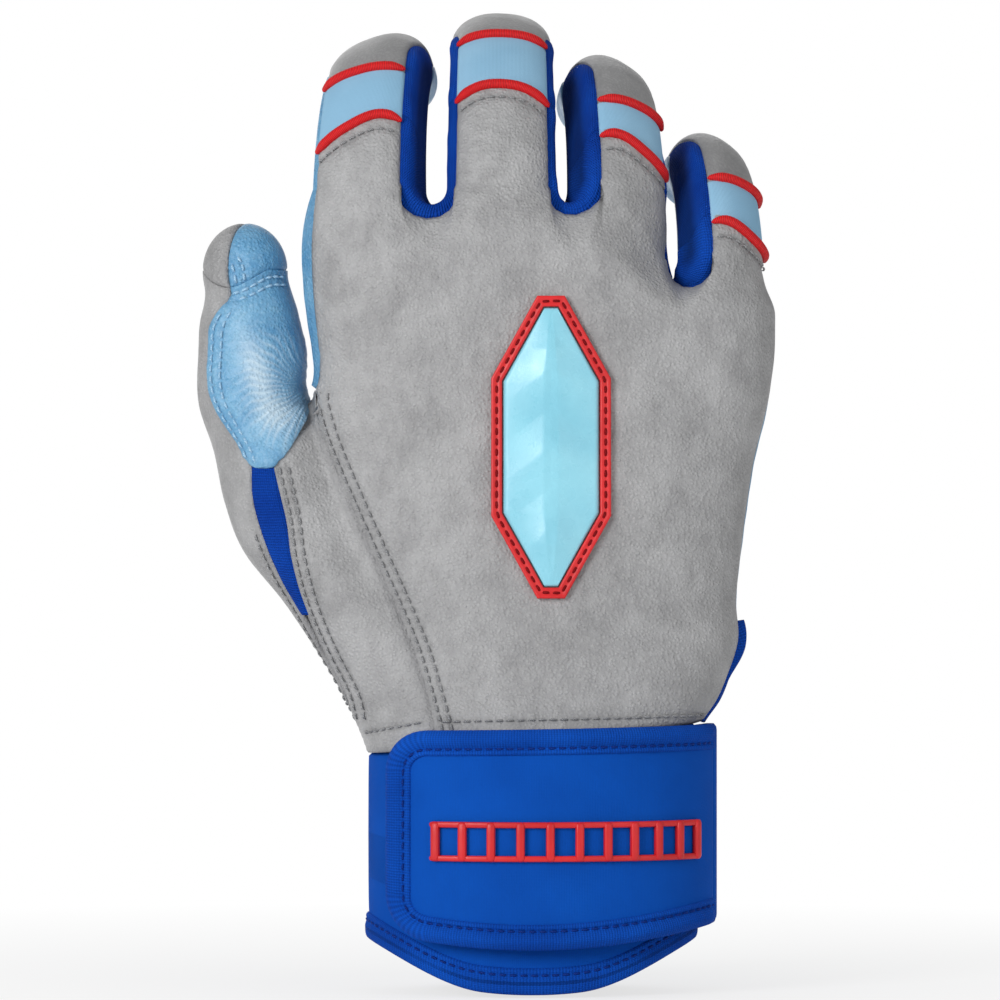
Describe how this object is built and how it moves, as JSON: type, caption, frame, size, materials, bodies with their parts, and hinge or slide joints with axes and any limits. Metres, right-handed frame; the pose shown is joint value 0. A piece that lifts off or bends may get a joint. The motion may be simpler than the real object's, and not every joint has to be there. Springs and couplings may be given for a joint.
{
  "type": "batting_glove",
  "caption": "Right-hand batting glove with curled fingers, leather back and palm, knit flex bands, and a neoprene cuff closed by a wrap strap",
  "frame": {"origin": "centre of the bounding box's footprint, at the height of the cuff's lower rim", "axes": "+Z from the wrist to the fingertips, -Y the back of the hand, -X the thumb's side"},
  "size_m": [0.1274, 0.086, 0.2165],
  "materials": {
    "grey_leather": "soft full-grain",
    "sky_leather": "soft full-grain",
    "sky_knit": "ribbed elastic knit",
    "blue_knit": "fine elastic knit",
    "blue_neoprene": "knit-faced foam",
    "red_piping": "satin cord",
    "red_rubber": "moulded, satin",
    "sky_rubber": "moulded, smooth",
    "hook_tape": "hook and loop tape"
  },
  "bodies": {
    "hand": {"back_panel": "grey_leather", "palm_panel": "sky_leather", "fourchette_index_middle": "blue_knit", "fourchette_middle_ring": "blue_knit", "fourchette_ring_little": "blue_knit", "thumb_side_panel": "grey_leather", "thumb_gusset": "blue_knit", "thumb_back": "grey_leather", "thumb_pad": "sky_leather", "wrist_vent_gusset": "blue_knit", "cuff_band": "blue_neoprene", "cuff_binding": "blue_knit", "loop_patch": "hook_tape", "strap_anchor": "blue_neoprene", "patch_insert": "sky_rubber", "patch_border": "red_rubber", "index_lower_piping": "red_piping", "middle_lower_piping": "red_piping", "ring_lower_piping": "red_piping", "little_lower_piping": "red_piping"},
    "index_tip": {"index_flex_band": "sky_knit", "index_upper_piping": "red_piping", "index_cap": "grey_leather", "index_palm_tip": "sky_leather", "index_fourchette_ulnar": "blue_knit"},
    "middle_tip": {"middle_flex_band": "sky_knit", "middle_upper_piping": "red_piping", "middle_cap": "grey_leather", "middle_palm_tip": "sky_leather", "middle_fourchette_radial": "blue_knit", "middle_fourchette_ulnar": "blue_knit"},
    "ring_tip": {"ring_flex_band": "sky_knit", "ring_upper_piping": "red_piping", "ring_cap": "grey_leather", "ring_palm_tip": "sky_leather", "ring_fourchette_radial": "blue_knit", "ring_fourchette_ulnar": "blue_knit"},
    "little_tip": {"little_flex_band": "sky_knit", "little_upper_piping": "red_piping", "little_cap": "grey_leather", "little_palm_tip": "sky_leather", "little_fourchette_radial": "blue_knit"},
    "thumb_tip": {"thumb_tip_back": "grey_leather", "thumb_tip_pad": "sky_leather"},
    "strap": {"strap_panel": "blue_neoprene", "strap_binding": "blue_knit", "hook_patch": "hook_tape", "strap_ribs": "red_rubber"}
  },
  "joints": [
    {"name": "index_flex", "type": "hinge", "parent": "hand", "child": "index_tip", "pos_m": [-0.02467, -0.00195, 0.19397], "axis": [-0.9962, 0.0872, 0], "range_deg": [-35, 45]},
    {"name": "middle_flex", "type": "hinge", "parent": "hand", "child": "middle_tip", "pos_m": [0.00338, 0.00254, 0.20018], "axis": [-1, 0, 0], "range_deg": [-35, 45]},
    {"name": "ring_flex", "type": "hinge", "parent": "hand", "child": "ring_tip", "pos_m": [0.02795, -0.0021, 0.18971], "axis": [-0.9962, -0.0872, 0], "range_deg": [-35, 45]},
    {"name": "little_flex", "type": "hinge", "parent": "hand", "child": "little_tip", "pos_m": [0.05078, -0.0052, 0.17297], "axis": [-0.9903, -0.1392, 0], "range_deg": [-35, 45]},
    {"name": "thumb_flex", "type": "hinge", "parent": "hand", "child": "thumb_tip", "pos_m": [-0.05217, -0.00466, 0.1465], "axis": [-0.891, 0.454, 0], "range_deg": [-10, 40]},
    {"name": "strap_open", "type": "hinge", "parent": "hand", "child": "strap", "pos_m": [0.04998, -0.01799, 0.03], "axis": [0, 0, 1], "range_deg": [0, 110]}
  ]
}
